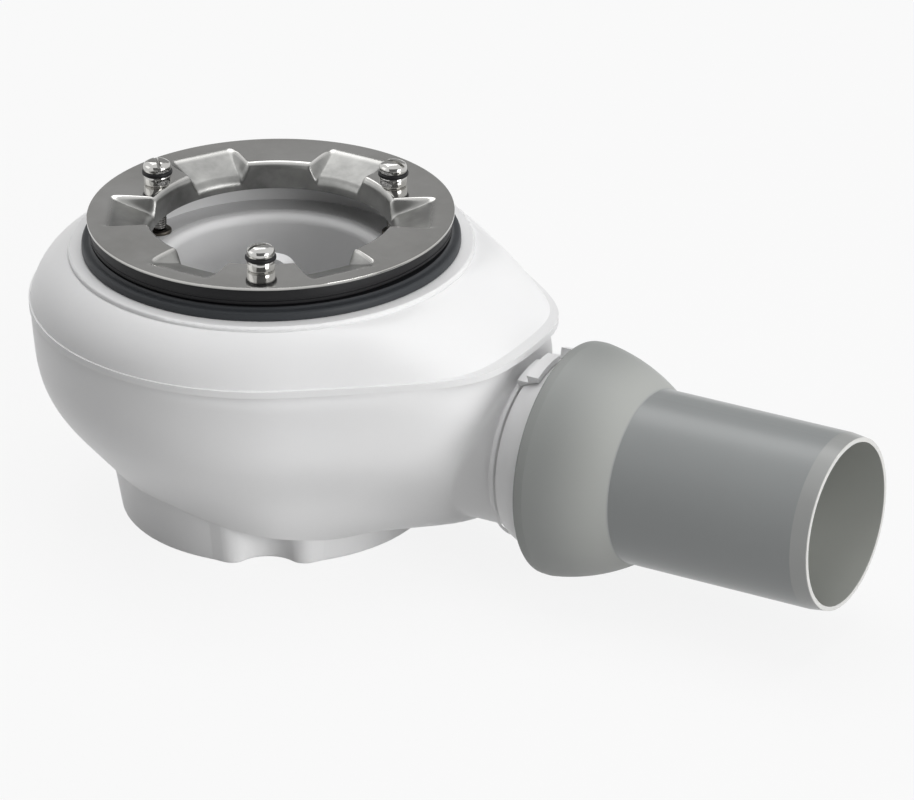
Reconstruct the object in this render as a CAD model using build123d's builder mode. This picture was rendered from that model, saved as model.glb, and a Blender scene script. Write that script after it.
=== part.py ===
"""Low shower trap with a clamp ring, a lift-out dip tube and a ball-jointed outlet pipe.

Millimetres. Z is the throat axis, pointing up from the middle of the foot; X points along the outlet.
"""

from math import cos, radians, sin, sqrt, tan
import os

from build123d import *

os.makedirs("parts", exist_ok=True)

# Outlet pipe and ball joint
pipe_od = 50.0
pipe_wall = 1.8
pipe_end_x = 184.0
pipe_bevel_length = 4.8
pipe_bevel_depth = 0.6
ball_x = 102.0
outlet_z = 35.0
ball_r = 29.4
ball_gap = 0.6
bell_wall = 3.6
bell_shift = 1.6
bell_flat = 0.9
bell_skirt = 4.8
bell_rim_round = 1.0
ball_front = 12.0
neck_r = 22.9
neck_wall = 2.4
neck_cove_r = 3.0
neck_root = 6.0
ball_back = 14.4
seal_groove_x = 4.0
seal_groove_width = 4.4
seal_groove_depth = 3.4
moving_gap = 0.3

# Split lock ring behind the ball
lock_ridge_r = 25.2
lock_ridge_width = 1.9
lock_groove = 0.7
lock_lug_stand = 0.6
lock_strap_share = 0.93
lock_lug_length = 3.7
lock_strap_length = 1.8
lock_lug_angle = 24.0
lock_split_angle = 15.0
lock_split = 2.0
lock_turn = -10.5
seat_gap = 0.15

# Body shells
shell_step = 0.7
nose_x = 84.7
nose_recede = 0.2
flank_angle = 36.0
flank_from_z = 1.0
flank_full_z = 13.0
corner_power = 13.5
seam_z = 64.2
deck_z = 80.4
dome_r = 18.0
collar_reach = 4.4
collar_inset = 0.4
collar_round = 0.7
shoulder = 11.1
roof_flat = 0.46
roof_from = 89.0
roof_blend = 30.0
rim_height = 2.0
rim_proud = 0.25
deck_thickness = 3.0
shell_wall = 2.6
bowl_knee_z = 54.4
bowl_arc_r = 36.3
bowl_slope = 39.5
flare_slope = 0.31
flare_power = 24.0
chamber_base_z = 19.0
belly = 6.0
belly_from = 105.0
belly_blend = 50.0
belly_top_z = 26.0
belly_full_z = 10.0
belly_base_z = 16.4
belly_break_x = -7.0
belly_fall = 0.2

# Foot, flutes and water pot
foot_r = 45.3
foot_edge_r = 1.0
foot_taper = 8.6
foot_height = 17.5
lobe_r = 30.0
lobe_rise = 1.6
flute_r = 9.5
flute_depth = 6.6
flute_lip_r = 5.0
flute_height = 10.0
pot_wall = 2.5
pot_set_in = 0.4
pot_top_z = 60.0

# Throat and clamp screws
throat_reach = 3.8
throat_wall = 2.5
ledge_z = 74.6
ledge_thickness = 4.2
screw_reach = 3.7
screw_turn = -2.3
boss_r = 4.6
boss_depth = 10.0
insert_r = 2.9
insert_flare = 0.7
insert_stand = 1.0
screw_r = 1.95
thread_gap = 0.08

# Lift-out dip tube
dip_flange_reach = 2.3
dip_flange_thickness = 2.2
dip_tube_r = 33.2
dip_tube_wall = 2.0
dip_lip_r = 2.6
dip_bottom_z = 10.0
dip_fit = 0.25
dip_seal_height = 1.8
dip_seal_width = 1.2
dip_seal_gap = 0.05
grip_width = 15.0
grip_thickness = 4.0
grip_rise = 1.6
grip_round = 5.0
rib_thickness = 2.0
rib_top_drop = 18.0
rib_height = 8.0

# Rim gasket and clamp ring
gasket_lip = 1.8
gasket_lip_height = 2.8
gasket_lip_bevel = 0.9
gasket_band_inset = 0.7
gasket_bore_gap = 0.6
gasket_width = 8.7
gasket_web = 1.6
tray_slot = 0.6
tray_slot_base = 3.3
gasket_height = 8.6
ring_sheet = 0.8
ring_bore_gap = 1.4
ring_bend_r = 2.2
ring_neck_depth = 8.0
pocket_rim = 4.9
pocket_root = 9.0
pocket_flare = 8.4
pocket_depth = 4.4
pocket_draft = 14.0

# Screw heads
collar_screw_r = 4.0
collar_screw_height = 3.0
head_groove = 1.3
head_groove_r = 3.2
head_height = 3.0
head_round = 2.1
slot_width = 1.3
slot_depth = 1.5
slot_turns = (35.0, 12.0, -20.0)
head_seal_proud = 0.4

bell_inner_r = ball_r + ball_gap
bell_r = bell_inner_r + bell_wall
pipe_r = pipe_od / 2
pipe_bore_r = pipe_r - pipe_wall
neck_bore_r = neck_r - neck_wall
lock_lug_r = ball_r + lock_lug_stand
lock_strap_r = ball_r * lock_strap_share
dip_flange_r = dip_tube_r + dip_flange_reach
screw_circle_r = dip_flange_r + screw_reach
throat_r = screw_circle_r + throat_reach
gasket_bore_r = throat_r + gasket_bore_gap
ring_r = gasket_bore_r + gasket_width
ring_bore_r = dip_tube_r + ring_bore_gap
gasket_lip_r = ring_r + gasket_lip
gasket_band_r = ring_r - gasket_band_inset
collar_r = gasket_lip_r + collar_reach
round_r = collar_r + shoulder
bowl_r = round_r - shell_step
pocket_start_r = ring_r - pocket_rim
dome_z = deck_z - dome_r
collar_base_z = dome_z + sqrt(dome_r**2 - (collar_r - round_r + dome_r) ** 2)
pot_r = foot_r - pot_set_in
pot_bore_r = pot_r - pot_wall
ring_top_z = deck_z + gasket_height + ring_sheet
screw_angles = [60.0 + screw_turn + 120.0 * k for k in range(3)]
ledge_base_z = ledge_z - ledge_thickness
outline_angles = [float(a) for a in range(-180, -60, 15)]
outline_angles += [-60.0 + 7.5 * k for k in range(17)]
outline_angles += [float(a) for a in range(75, 180, 15)]


def dome_radius(z):
    """Radius of the round half of the upper shell at height z."""
    rise = max(z - dome_z, 0.0)
    return round_r - dome_r + sqrt(max(dome_r**2 - rise**2, 0.0))


def roof_radius(angle, z):
    """Radius of the upper shell at height z: a dome that flattens to a cone towards the nose."""
    turn = min(max((roof_from - abs(angle)) / roof_blend, 0.0), 1.0)
    weight = roof_flat * turn * turn * (3.0 - 2.0 * turn)
    straight = round_r - shoulder * (z - seam_z) / (collar_base_z - seam_z)
    return (1.0 - weight) * dome_radius(z) + weight * straight


def bowl_radius(z):
    """Radius of the round half of the lower shell at height z."""
    turn = radians(bowl_slope)
    drop = max(bowl_knee_z - z, 0.0)
    arc_drop = bowl_arc_r * sin(turn)
    arc_part = min(drop, arc_drop)
    cone_part = drop - arc_part
    return bowl_r - bowl_arc_r + sqrt(bowl_arc_r**2 - arc_part**2) - cone_part * tan(turn)


def belly_swell(angle, z):
    """How far the underside swells past the round bowl towards the outlet at height z."""
    turn = min(max((belly_from - abs(angle)) / belly_blend, 0.0), 1.0)
    drop = min(max((belly_top_z - z) / (belly_top_z - belly_full_z), 0.0), 1.0)
    return belly * turn * turn * (3.0 - 2.0 * turn) * drop


def flare_reach(angle, z):
    """Distance from the throat axis to the cone that runs into the neck."""
    c = cos(radians(angle))
    s = sin(radians(angle))
    if c <= 0.2:
        return 1.0
    start = neck_r + flare_slope * (nose_x - 10.0)
    rest = start**2 - (z - outlet_z) ** 2
    if rest <= 0.0:
        return 1.0
    lead = flare_slope * c * start
    return rest / (lead + sqrt(lead**2 + (s**2 - (flare_slope * c) ** 2) * rest))


def reach(angle, z, radius, end_x, flared):
    """Distance from the throat axis to the outline: round at the back, flanks running to a nose."""
    c = cos(radians(angle))
    grown = min(max((z - flank_from_z) / (flank_full_z - flank_from_z), 0.0), 1.0)
    lean = max(90.0 - flank_angle - abs(angle), 0.0) * grown
    side = radius / cos(radians(lean))
    if flared:
        side = (side**flare_power + flare_reach(angle, z) ** flare_power) ** (1 / flare_power)
    if c <= 0.05:
        return side
    return (side**-corner_power + (end_x / c) ** -corner_power) ** (-1 / corner_power)


def upper_point(angle, z, inset):
    """Point of the upper shell's outline at height z."""
    slope = (nose_x - collar_r) / (collar_base_z - seam_z)
    end_x = nose_x - (z - seam_z) * slope
    if z > collar_base_z - 0.1:
        far = collar_r - inset
    else:
        far = reach(angle, z, roof_radius(angle, z), end_x, False) - inset
    return (far * cos(radians(angle)), far * sin(radians(angle)), z)


def lower_point(angle, z, inset):
    """Point of the lower shell's outline at height z."""
    end_x = nose_x - shell_step - (seam_z - z) * nose_recede
    far = reach(angle, z, bowl_radius(z) + belly_swell(angle, z), end_x, True) - inset
    return (far * cos(radians(angle)), far * sin(radians(angle)), z)


def rim_point(angle, z, inset):
    """Point of the band around the lower edge of the upper shell."""
    x, y, _ = upper_point(angle, seam_z, inset - rim_proud)
    return (x, y, z)


def skin(point_at, levels, inset):
    """Solid lofted through the outlines at the given heights."""
    stations = [a / 360.0 + 0.5 for a in outline_angles] + [1.0]
    with BuildPart() as body:
        for z in levels:
            with BuildSketch(Plane.XY.offset(z)):
                with BuildLine():
                    points = [point_at(a, z, inset)[:2] for a in outline_angles]
                    add(Edge.make_spline(points, periodic=True, parameters=stations))
                make_face()
        loft()
    return body.part


def spaced(low, high, steps):
    """Evenly spaced heights from low to high."""
    return [low + (high - low) * k / steps for k in range(steps + 1)]


upper_levels = spaced(seam_z, collar_base_z - 2.4, 5) + [collar_base_z]
upper_outside = skin(upper_point, upper_levels, 0.0)
upper_inside = skin(upper_point, spaced(seam_z, deck_z - deck_thickness, 5), shell_wall)
upper_rim = skin(rim_point, [seam_z, seam_z + rim_height], 0.0)
lower_levels = spaced(3.0, chamber_base_z, 3) + spaced(chamber_base_z + 8.0, seam_z, 4)
lower_outside = skin(lower_point, lower_levels, 0.0)
lower_inside = skin(lower_point, spaced(chamber_base_z, seam_z, 6), shell_wall + 0.3)

# Upper shell: dome and nose, deck, throat with its ledge, screw bosses
with BuildPart() as upper_shell:
    add(upper_outside)
    add(upper_rim)
    with Locations((0, 0, collar_base_z - 1.0)):
        Cylinder(
            collar_r - collar_inset,
            deck_z - collar_base_z + 1.0,
            align=(Align.CENTER, Align.CENTER, Align.MIN),
        )
    fillet(upper_shell.faces().sort_by(Axis.Z)[-1].edges(), collar_round)
    add(upper_inside, mode=Mode.SUBTRACT)
    with Locations((0, 0, ledge_base_z)):
        Cylinder(
            throat_r + throat_wall,
            deck_z - ledge_base_z,
            align=(Align.CENTER, Align.CENTER, Align.MIN),
        )
    with BuildSketch(Plane.XY.offset(ledge_base_z)):
        with PolarLocations(screw_circle_r, 3, start_angle=screw_angles[0]):
            Circle(boss_r)
    extrude(amount=-(boss_depth - ledge_thickness))
    with BuildSketch(Plane.XY.offset(deck_z)):
        Circle(throat_r)
    extrude(amount=-(deck_z - ledge_z), mode=Mode.SUBTRACT)
    with BuildSketch(Plane.XY.offset(ledge_z)):
        Circle(dip_flange_r + dip_fit)
    extrude(amount=-dip_flange_thickness, mode=Mode.SUBTRACT)
    with BuildSketch(Plane.XY.offset(ledge_z)):
        Circle(dip_tube_r + dip_fit + dip_seal_width)
    extrude(amount=-boss_depth, mode=Mode.SUBTRACT)
    with BuildSketch(Plane.XY.offset(ledge_z)):
        with PolarLocations(screw_circle_r, 3, start_angle=screw_angles[0]):
            Circle(insert_r)
    extrude(amount=-boss_depth, mode=Mode.SUBTRACT)
upper_shell.part.label = "upper_shell"
export_step(upper_shell.part, "parts/upper_shell.step")

# Lower shell: bowl, fluted foot with the water pot, outlet neck and ball
def fluted(inset):
    """Plan outline of the foot with its three flutes between rounded lobes, moved inward by inset."""
    with BuildSketch() as plan:
        Circle(foot_r - inset)
        with PolarLocations(foot_r + lobe_rise - lobe_r, 3, start_angle=screw_angles[0]):
            Circle(lobe_r - inset)
        with PolarLocations(foot_r + lobe_rise + flute_r - flute_depth, 3, start_angle=screw_angles[0]):
            Circle(flute_r + inset, mode=Mode.SUBTRACT)
        lips = plan.vertices().filter_by(lambda v: sqrt(v.X**2 + v.Y**2) > foot_r - inset + 1e-4)
        fillet(lips, flute_lip_r - inset)
    return plan.sketch


foot_outline = fluted(0.0)
foot_crown = fluted(-foot_height * tan(radians(foot_taper)))
pot_outline = fluted(pot_wall)
with BuildPart() as pot_space:
    with BuildSketch(Plane.XY.offset(pot_wall)):
        add(pot_outline)
    extrude(amount=flute_height)
    with BuildSketch(Plane.XY.offset(pot_wall + flute_height)):
        Circle(pot_bore_r)
    extrude(amount=seam_z)

with BuildPart() as bowl:
    add(lower_outside)
    with BuildSketch(Plane.XZ):
        with BuildLine():
            Polyline(
                (-2 * round_r, -belly_base_z),
                (-2 * round_r, belly_base_z),
                (belly_break_x, belly_base_z),
                (nose_x, belly_base_z - (nose_x - belly_break_x) * belly_fall),
                (nose_x, -belly_base_z),
                close=True,
            )
        make_face()
    extrude(amount=2 * round_r, both=True, mode=Mode.SUBTRACT)

with BuildPart() as lower_shell:
    add(foot_outline)
    with BuildSketch(Plane.XY.offset(foot_height)):
        add(foot_crown)
    loft(ruled=True)
    fillet(lower_shell.faces().sort_by(Axis.Z)[0].edges(), foot_edge_r)
    add(bowl.part)
    with BuildSketch(Plane.XZ):
        with BuildLine():
            Polyline(
                (foot_r + neck_root, outlet_z),
                (foot_r + neck_root, outlet_z + neck_r),
                (ball_x - ball_back, outlet_z + neck_r),
                (ball_x - ball_back, outlet_z + sqrt(ball_r**2 - ball_back**2)),
            )
            ThreePointArc(
                (ball_x - ball_back, outlet_z + sqrt(ball_r**2 - ball_back**2)),
                (ball_x, outlet_z + ball_r),
                (ball_x + ball_front, outlet_z + sqrt(ball_r**2 - ball_front**2)),
            )
            Polyline(
                (ball_x + ball_front, outlet_z + sqrt(ball_r**2 - ball_front**2)),
                (ball_x + ball_front, outlet_z),
                (foot_r + neck_root, outlet_z),
            )
        make_face()
    revolve(axis=Axis((0, 0, outlet_z), (1, 0, 0)))
    neck_face = lower_shell.faces().filter_by(GeomType.CYLINDER).filter_by(
        lambda f: abs(f.radius - neck_r) < 1e-6
    )
    fillet(neck_face.edges().sort_by(Axis.X)[0], neck_cove_r)
    add(lower_inside, mode=Mode.SUBTRACT)
    with Locations((0, 0, flute_height)):
        Cylinder(pot_r, pot_top_z - flute_height, align=(Align.CENTER, Align.CENTER, Align.MIN))
    add(pot_space.part, mode=Mode.SUBTRACT)
    with BuildSketch(Plane.YZ.offset(pot_r + 2.0)):
        with Locations((0, outlet_z)):
            Circle(neck_bore_r)
    extrude(amount=ball_x + ball_front - pot_r, mode=Mode.SUBTRACT)
    with BuildSketch(Plane.YZ.offset(ball_x + seal_groove_x)):
        with Locations((0, outlet_z)):
            Circle(ball_r + 1.0)
            Circle(ball_r - seal_groove_depth, mode=Mode.SUBTRACT)
    extrude(amount=seal_groove_width, mode=Mode.SUBTRACT)
lower_shell.part.label = "lower_shell"
export_step(lower_shell.part, "parts/lower_shell.step")

# Outlet pipe: bell over the ball, then the spigot
with BuildPart() as outlet_pipe:
    rim_x = ball_x - bell_skirt
    bell_x = ball_x - bell_shift
    rim_r = sqrt(bell_r**2 - (bell_skirt - bell_shift) ** 2)
    shoulder_x = bell_x + sqrt(bell_r**2 - pipe_r**2)
    front_x = (bell_x + shoulder_x) / 2
    mouth_x = ball_x + sqrt(bell_inner_r**2 - pipe_bore_r**2)
    with BuildSketch(Plane.XZ):
        with BuildLine():
            RadiusArc((rim_x, outlet_z + rim_r), (bell_x, outlet_z + bell_r), bell_r)
            ThreePointArc(
                (bell_x, outlet_z + bell_r),
                (front_x, outlet_z + sqrt(bell_r**2 - (front_x - bell_x) ** 2) - bell_flat),
                (shoulder_x, outlet_z + pipe_r),
            )
            Polyline(
                (shoulder_x, outlet_z + pipe_r),
                (pipe_end_x - pipe_bevel_length, outlet_z + pipe_r),
                (pipe_end_x, outlet_z + pipe_r - pipe_bevel_depth),
                (pipe_end_x, outlet_z + pipe_bore_r),
                (mouth_x, outlet_z + pipe_bore_r),
            )
            ThreePointArc(
                (mouth_x, outlet_z + pipe_bore_r),
                (ball_x, outlet_z + bell_inner_r),
                (rim_x, outlet_z + sqrt(bell_inner_r**2 - bell_skirt**2)),
            )
            Line(
                (rim_x, outlet_z + sqrt(bell_inner_r**2 - bell_skirt**2)),
                (rim_x, outlet_z + rim_r),
            )
        make_face()
    revolve(axis=Axis((0, 0, outlet_z), (1, 0, 0)))
    rim_edges = outlet_pipe.faces().sort_by(Axis.X)[0].edges()
    fillet(rim_edges.sort_by(SortBy.LENGTH)[-1], bell_rim_round)
outlet_pipe.part.label = "outlet_pipe"
export_step(outlet_pipe.part, "parts/outlet_pipe.step")

# Rubber ring in the groove of the ball
with BuildPart() as ball_seal:
    seal_low = ball_x + seal_groove_x + moving_gap
    seal_high = ball_x + seal_groove_x + seal_groove_width - moving_gap
    seal_bore_r = ball_r - seal_groove_depth + moving_gap
    seal_skin_r = bell_inner_r - moving_gap
    low_r = sqrt(seal_skin_r**2 - (seal_low - ball_x) ** 2)
    high_r = sqrt(seal_skin_r**2 - (seal_high - ball_x) ** 2)
    with BuildSketch(Plane.XZ):
        with BuildLine():
            Polyline(
                (seal_low, outlet_z + low_r),
                (seal_low, outlet_z + seal_bore_r),
                (seal_high, outlet_z + seal_bore_r),
                (seal_high, outlet_z + high_r),
            )
            RadiusArc((seal_low, outlet_z + low_r), (seal_high, outlet_z + high_r), seal_skin_r)
        make_face()
    revolve(axis=Axis((0, 0, outlet_z), (1, 0, 0)))
ball_seal.part.label = "ball_seal"
export_step(ball_seal.part, "parts/ball_seal.step")

# Split lock ring: ridge around the neck, two lugs over the back of the ball
def sector(outer, middle):
    """Cross-section of a lug: a sector of a ring about the outlet axis."""
    inner = (neck_r + lock_ridge_r) / 2
    low = radians(middle - lock_lug_angle / 2)
    mid = radians(middle)
    high = radians(middle + lock_lug_angle / 2)
    with BuildSketch() as plan:
        with BuildLine():
            Line(
                (inner * cos(low), outlet_z + inner * sin(low)),
                (outer * cos(low), outlet_z + outer * sin(low)),
            )
            ThreePointArc(
                (outer * cos(low), outlet_z + outer * sin(low)),
                (outer * cos(mid), outlet_z + outer * sin(mid)),
                (outer * cos(high), outlet_z + outer * sin(high)),
            )
            Line(
                (outer * cos(high), outlet_z + outer * sin(high)),
                (inner * cos(high), outlet_z + inner * sin(high)),
            )
            ThreePointArc(
                (inner * cos(high), outlet_z + inner * sin(high)),
                (inner * cos(mid), outlet_z + inner * sin(mid)),
                (inner * cos(low), outlet_z + inner * sin(low)),
            )
        make_face()
    return plan.sketch


with BuildPart() as outlet_lock_ring:
    ridge_end = ball_x - ball_back - lock_groove
    with BuildSketch(Plane.YZ.offset(ridge_end)):
        with Locations((0, outlet_z)):
            Circle(lock_ridge_r)
            Circle(neck_r + seat_gap, mode=Mode.SUBTRACT)
    extrude(amount=-lock_ridge_width)
    fillet(outlet_lock_ring.edges().filter_by(GeomType.CIRCLE).group_by(SortBy.RADIUS)[-1], 0.5)
    for side in (-1, 1):
        middle = 90.0 + lock_turn + side * (lock_split_angle + lock_lug_angle) / 2
        with BuildSketch(Plane.YZ.offset(ridge_end - lock_ridge_width / 2)):
            add(sector(lock_strap_r, middle))
        extrude(amount=lock_ridge_width / 2 + lock_groove + lock_strap_length)
        with BuildSketch(Plane.YZ.offset(ridge_end + lock_groove + lock_strap_length)):
            add(sector(lock_lug_r, middle))
        extrude(amount=lock_lug_length)
    with BuildSketch(Plane.YZ.offset(ridge_end + lock_groove - seat_gap)):
        with Locations((0, outlet_z)):
            Circle(neck_r + 2.0)
    extrude(amount=lock_strap_length + lock_lug_length, mode=Mode.SUBTRACT)
    with Locations((ball_x, 0, outlet_z)):
        Sphere(ball_r + seat_gap, mode=Mode.SUBTRACT)
    with Locations(Location((ridge_end - lock_ridge_width / 2, 0, outlet_z), (lock_turn, 0, 0))):
        with Locations((0, 0, neck_r)):
            Box(2 * lock_ridge_width, lock_split, 2 * (lock_ridge_r - neck_r) + 2.0, mode=Mode.SUBTRACT)
outlet_lock_ring.part.label = "outlet_lock_ring"
export_step(outlet_lock_ring.part, "parts/outlet_lock_ring.step")

# Lift-out dip tube: flange with a rounded inlet, ribs and a grip in the middle
with BuildPart() as dip_tube:
    dip_bore_r = dip_tube_r - dip_tube_wall
    with BuildSketch(Plane.XZ):
        with BuildLine():
            Polyline(
                (dip_bore_r, dip_bottom_z),
                (dip_tube_r, dip_bottom_z),
                (dip_tube_r, ledge_z - dip_flange_thickness),
                (dip_flange_r, ledge_z - dip_flange_thickness),
                (dip_flange_r, ledge_z),
                (dip_bore_r + dip_lip_r, ledge_z),
            )
            ThreePointArc(
                (dip_bore_r + dip_lip_r, ledge_z),
                (dip_bore_r + dip_lip_r * (1 - sin(radians(45))), ledge_z - dip_lip_r * (1 - sin(radians(45)))),
                (dip_bore_r, ledge_z - dip_lip_r),
            )
            Line((dip_bore_r, ledge_z - dip_lip_r), (dip_bore_r, dip_bottom_z))
        make_face()
    revolve(axis=Axis.Z)
    rib_top = ledge_z - rib_top_drop
    grip_top = ledge_z + grip_rise
    with BuildSketch(Plane.XZ):
        with Locations((0, rib_top - rib_height / 2)):
            Rectangle(2 * dip_bore_r + dip_tube_wall, rib_height)
    extrude(amount=rib_thickness / 2, both=True)
    with BuildSketch(Plane.XZ) as grip_side:
        with Locations((0, (grip_top + rib_top - rib_height) / 2)):
            Rectangle(grip_width, grip_top - rib_top + rib_height)
        fillet(grip_side.vertices().group_by(Axis.Z)[-1], grip_round)
    extrude(amount=grip_thickness / 2, both=True)
dip_tube.part.label = "dip_tube"
export_step(dip_tube.part, "parts/dip_tube.step")

# Rubber ring under the flange of the dip tube
with BuildPart() as dip_tube_seal:
    with BuildSketch(Plane.XY.offset(ledge_z - dip_flange_thickness)):
        Circle(dip_tube_r + dip_fit + dip_seal_width - dip_seal_gap)
        Circle(dip_tube_r + dip_seal_gap, mode=Mode.SUBTRACT)
    extrude(amount=-dip_seal_height)
    fillet(dip_tube_seal.edges().group_by(Axis.Z)[0], 0.4)
dip_tube_seal.part.label = "dip_tube_seal"
export_step(dip_tube_seal.part, "parts/dip_tube_seal.step")

def blank(bore, outer, top, bottom, bend):
    """Solid of revolution under one face of the sheet."""
    with BuildPart() as body:
        with BuildSketch(Plane.XZ):
            with BuildLine():
                Polyline((bore, top - bend), (bore, bottom), (outer, bottom), (outer, top), (bore + bend, top))
                ThreePointArc(
                    (bore + bend, top),
                    (bore + bend * (1 - sin(radians(45))), top - bend * (1 - sin(radians(45)))),
                    (bore, top - bend),
                )
            make_face()
        revolve(axis=Axis.Z)
    return body.part


def pocket_tool(extra):
    """Wedge that sinks one ramp pocket into the clamp ring, enlarged by extra."""
    fall = pocket_depth / (pocket_start_r - ring_bore_r)
    deep = pocket_depth + extra * sqrt(1 + fall**2)
    low_x = ring_bore_r - 3.0
    high_x = ring_r + 6.0
    low_half = pocket_root + extra + (low_x - ring_bore_r) * tan(radians(pocket_flare))
    high_half = pocket_root + extra + (high_x - ring_bore_r) * tan(radians(pocket_flare))
    with BuildPart() as body:
        with BuildSketch(Plane.XY.offset(ring_top_z)) as plan:
            with BuildLine():
                Polyline(
                    (low_x, -low_half),
                    (high_x, -high_half),
                    (high_x, high_half),
                    (low_x, low_half),
                    close=True,
                )
            make_face()
        extrude(amount=-(deep + 3.0), taper=pocket_draft)
        add(plan.sketch)
        extrude(amount=2.0)
        with BuildSketch(Plane.XZ):
            with BuildLine():
                Polyline(
                    (low_x, ring_top_z + 2.0),
                    (low_x, ring_top_z - deep - 3.0 * fall),
                    (ring_bore_r + (deep + 2.0) / fall, ring_top_z + 2.0),
                    close=True,
                )
            make_face()
        extrude(amount=2 * high_half, both=True, mode=Mode.INTERSECT)
    return body.part


# Clamp ring: flat rim, drawn neck and six ramp pockets
pocket_angles = [30.0 + screw_turn + 60.0 * k for k in range(6)]
ring_outside = blank(ring_bore_r, ring_r, ring_top_z, ring_top_z - ring_neck_depth, ring_bend_r)
ring_hollow = blank(
    ring_bore_r + ring_sheet,
    ring_r + 2.0,
    ring_top_z - ring_sheet,
    ring_top_z - ring_neck_depth - 2.0,
    ring_bend_r - ring_sheet,
)
pocket_cut = pocket_tool(0.0)
pocket_back = pocket_tool(ring_sheet)
pocket_room = pocket_tool(ring_sheet + seat_gap)
with BuildPart() as hollow_tool:
    add(ring_hollow)
    for angle in pocket_angles:
        add(pocket_back.rotate(Axis.Z, angle), mode=Mode.SUBTRACT)
with BuildPart() as flange_ring:
    add(ring_outside)
    for angle in pocket_angles:
        add(pocket_cut.rotate(Axis.Z, angle), mode=Mode.SUBTRACT)
    add(hollow_tool.part, mode=Mode.SUBTRACT)
    with BuildSketch(Plane.XY.offset(ring_top_z)):
        with PolarLocations(screw_circle_r, 3, start_angle=screw_angles[0]):
            Circle(screw_r + 0.35)
    extrude(amount=-(ring_sheet + 0.6), mode=Mode.SUBTRACT)
flange_ring.part.label = "flange_ring"
export_step(flange_ring.part, "parts/flange_ring.step")

# Gasket: wide lip on the deck, slot for the tray edge, band under the clamp ring
with BuildPart() as rim_gasket:
    slot_z = deck_z + tray_slot_base
    gasket_top = deck_z + gasket_height
    with BuildSketch(Plane.XZ):
        with BuildLine():
            Polyline(
                (gasket_bore_r, deck_z),
                (gasket_lip_r, deck_z),
                (gasket_lip_r, deck_z + gasket_lip_height - gasket_lip_bevel),
                (gasket_lip_r - gasket_lip_bevel, deck_z + gasket_lip_height),
                (gasket_band_r, slot_z),
                (gasket_bore_r + gasket_web, slot_z),
                (gasket_bore_r + gasket_web, slot_z + tray_slot),
                (gasket_band_r, slot_z + tray_slot),
                (gasket_band_r, gasket_top - 0.9),
                (gasket_band_r - 0.7, gasket_top),
                (gasket_bore_r, gasket_top),
                close=True,
            )
        make_face()
    revolve(axis=Axis.Z)
    for angle in pocket_angles:
        add(pocket_room.rotate(Axis.Z, angle), mode=Mode.SUBTRACT)
rim_gasket.part.label = "rim_gasket"
export_step(rim_gasket.part, "parts/rim_gasket.step")

# Screws: shank, collar, groove for the O-ring and slotted dome head
with BuildPart() as flange_screws:
    screw_base = ledge_z - boss_depth
    groove_z = ring_top_z + collar_screw_height
    head_z = groove_z + head_groove
    for angle, turn in zip(screw_angles, slot_turns):
        spot = (screw_circle_r * cos(radians(angle)), screw_circle_r * sin(radians(angle)))
        with BuildSketch(Plane.XY.offset(screw_base)):
            with Locations(spot):
                Circle(screw_r)
        extrude(amount=ring_top_z - screw_base)
        with BuildSketch(Plane.XY.offset(ring_top_z)):
            with Locations(spot):
                Circle(collar_screw_r)
        extrude(amount=collar_screw_height)
        with BuildSketch(Plane.XY.offset(groove_z)):
            with Locations(spot):
                Circle(head_groove_r)
        extrude(amount=head_groove)
        with BuildSketch(Plane.XY.offset(head_z)):
            with Locations(spot):
                Circle(collar_screw_r)
        extrude(amount=head_height)
    fillet(flange_screws.edges().group_by(Axis.Z)[-1], head_round)
    for angle, turn in zip(screw_angles, slot_turns):
        spot = (screw_circle_r * cos(radians(angle)), screw_circle_r * sin(radians(angle)))
        with BuildSketch(Plane.XY.offset(head_z + head_height)):
            with Locations(spot):
                Rectangle(3 * collar_screw_r, slot_width, rotation=turn)
        extrude(amount=-slot_depth, mode=Mode.SUBTRACT)
flange_screws.part.label = "flange_screws"
export_step(flange_screws.part, "parts/flange_screws.step")

# O-rings in the grooves of the screw heads
with BuildPart() as screw_seals:
    with BuildSketch(Plane.XY.offset(groove_z)):
        with PolarLocations(screw_circle_r, 3, start_angle=screw_angles[0]):
            Circle(collar_screw_r + head_seal_proud)
            Circle(head_groove_r + 0.05, mode=Mode.SUBTRACT)
    extrude(amount=head_groove)
    fillet(screw_seals.edges().filter_by(GeomType.CIRCLE).group_by(SortBy.RADIUS)[-1], 0.5)
screw_seals.part.label = "screw_seals"
export_step(screw_seals.part, "parts/screw_seals.step")

# Metal inserts in the bosses
with BuildPart() as thread_inserts:
    with BuildSketch(Plane.XY.offset(ledge_z)):
        with PolarLocations(screw_circle_r, 3, start_angle=screw_angles[0]):
            Circle(insert_r - 0.03)
    extrude(amount=-boss_depth)
    with BuildSketch(Plane.XY.offset(ledge_z)):
        with PolarLocations(screw_circle_r, 3, start_angle=screw_angles[0]):
            Circle(insert_r + insert_flare)
    extrude(amount=insert_stand)
    fillet(thread_inserts.edges().group_by(Axis.Z)[-1], 0.5)
    with BuildSketch(Plane.XY.offset(ledge_z + insert_stand)):
        with PolarLocations(screw_circle_r, 3, start_angle=screw_angles[0]):
            Circle(screw_r + thread_gap)
    extrude(amount=-(boss_depth + insert_stand), mode=Mode.SUBTRACT)
thread_inserts.part.label = "thread_inserts"
export_step(thread_inserts.part, "parts/thread_inserts.step")
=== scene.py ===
"""Dresses the shower trap: its finishes, its fine details, the studio and the camera."""

import logging
from collections.abc import Callable, Iterator
from contextlib import contextmanager
from dataclasses import dataclass
from enum import Enum
from math import atan2, cos, degrees, exp, hypot, pi, radians, sin, sqrt, tan

import bpy
from mathutils import Matrix, Vector


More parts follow.
